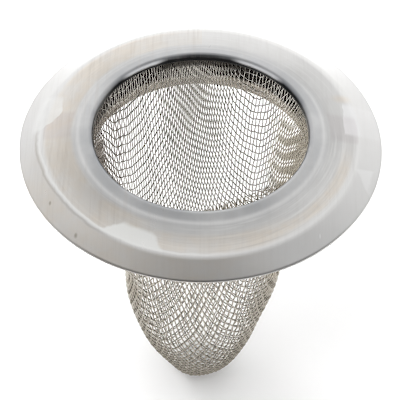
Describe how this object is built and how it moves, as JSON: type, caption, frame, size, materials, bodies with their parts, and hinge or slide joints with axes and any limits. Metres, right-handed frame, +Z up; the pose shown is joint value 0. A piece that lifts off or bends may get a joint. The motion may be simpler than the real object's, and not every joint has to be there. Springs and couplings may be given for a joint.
{
  "type": "sink strainer",
  "caption": "Deep wire-mesh sink strainer: domed steel rim with turned-down lip, clamping sleeve and bullet-shaped woven basket that hangs in a drain and catches solids.",
  "frame": {"origin": "on the strainer's axis, in the plane on which the lower edge of the rim's skirt rests", "axes": "+Z up along the axis, out of the drain; the basket hangs below towards -Z; X and Y are free by symmetry"},
  "size_m": [0.07, 0.07, 0.0729],
  "materials": {
    "rim_steel": "satin stamped stainless sheet, fine radial streaks",
    "sleeve_steel": "plain drawn stainless sheet",
    "mesh_wire": "bright drawn wire, plain weave"
  },
  "bodies": {
    "root": {"rim_flange": "rim_steel", "retaining_sleeve": "sleeve_steel", "mesh_basket": "mesh_wire"}
  },
  "joints": []
}
